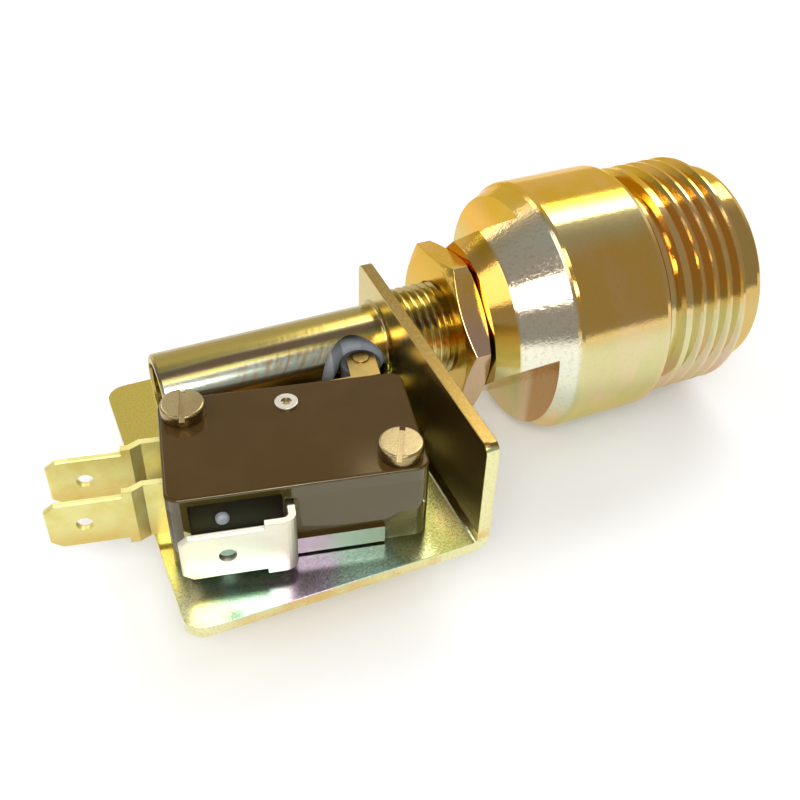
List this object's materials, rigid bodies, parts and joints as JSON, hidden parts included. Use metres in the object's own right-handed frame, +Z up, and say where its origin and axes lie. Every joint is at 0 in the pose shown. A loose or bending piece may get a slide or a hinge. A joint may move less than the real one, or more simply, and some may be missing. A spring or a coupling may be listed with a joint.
{
  "type": "plunger operated snap switch on a threaded body",
  "caption": "Snap switch with a roller lever on a bent bracket, worked by a spring-loaded plunger in a threaded, plated body that screws into a pressure port.",
  "frame": {"origin": "on the axis of the coarse thread, at the middle of the thread", "axes": "+X along the thread axis out of its inlet end, +Z up from the bracket's plate, +Y towards the tube's side of the bracket"},
  "size_m": [0.0915, 0.0458, 0.0326],
  "materials": {
    "plated_gold": "yellow passivated zinc plate, glossy",
    "dark_case": "glossy moulding",
    "tinned": "tinned, satin",
    "pale_brass": "satin",
    "screw_tan": "plated, satin",
    "grey_steel": "turned, satin",
    "spring_steel": "rolled strip",
    "contact_silver": "polished",
    "dark_resin": "moulded",
    "seal_rubber": "matte"
  },
  "bodies": {
    "housing": {"bracket": "plated_gold", "threaded_body": "plated_gold", "jam_nut": "plated_gold", "guide_sleeve": "plated_gold", "inlet_plug": "plated_gold", "adjusting_screw": "plated_gold", "return_spring": "spring_steel", "mounting_screws": "screw_tan", "switch_base": "dark_case", "switch_cover": "dark_case", "cover_eyelet": "tinned", "front_rivet": "grey_steel", "common_terminal": "tinned", "nc_terminal": "pale_brass", "no_terminal": "pale_brass", "nc_contact": "contact_silver", "no_contact": "contact_silver", "lever_pin": "grey_steel"},
    "plunger": {"plunger": "grey_steel", "piston": "grey_steel", "piston_seal": "seal_rubber"},
    "lever": {"lever": "spring_steel", "roller_axle": "spring_steel"},
    "roller": {"roller": "grey_steel"},
    "button": {"button": "dark_resin"},
    "blade": {"snap_blade": "spring_steel", "snap_spring": "spring_steel", "moving_contact": "contact_silver"}
  },
  "joints": [
    {"name": "plunger_slide", "type": "slide", "parent": "housing", "child": "plunger", "axis": [-1, 0, 0], "range_m": [0, 0.002], "stiffness_N_per_m": 1500, "springref_m": -0.003, "deforming": ["return_spring"]},
    {"name": "lever_swing", "type": "hinge", "parent": "housing", "child": "lever", "pos_m": [-0.06333, -0.00706, -0.0004], "axis": [0, 0, -1], "range_deg": [0, 5.3]},
    {"name": "roller_spin", "type": "hinge", "parent": "lever", "child": "roller", "pos_m": [-0.044, -0.0043, -0.0004], "axis": [0, 0, 1], "continuous": true},
    {"name": "button_slide", "type": "slide", "parent": "housing", "child": "button", "axis": [-0.1908, -0.9816, 0], "range_m": [0, 0.00104]},
    {"name": "blade_swing", "type": "hinge", "parent": "housing", "child": "blade", "pos_m": [-0.05019, -0.01598, -0.00135], "axis": [0, 0, 1], "range_deg": [0, 6.6]}
  ],
  "couplings": [
    {"joint": "lever_swing", "follows": "plunger_slide", "rad_per_m": 44},
    {"joint": "button_slide", "follows": "plunger_slide", "ratio": 0.5},
    {"joint": "blade_swing", "follows": "plunger_slide", "rad_per_m": 55}
  ]
}
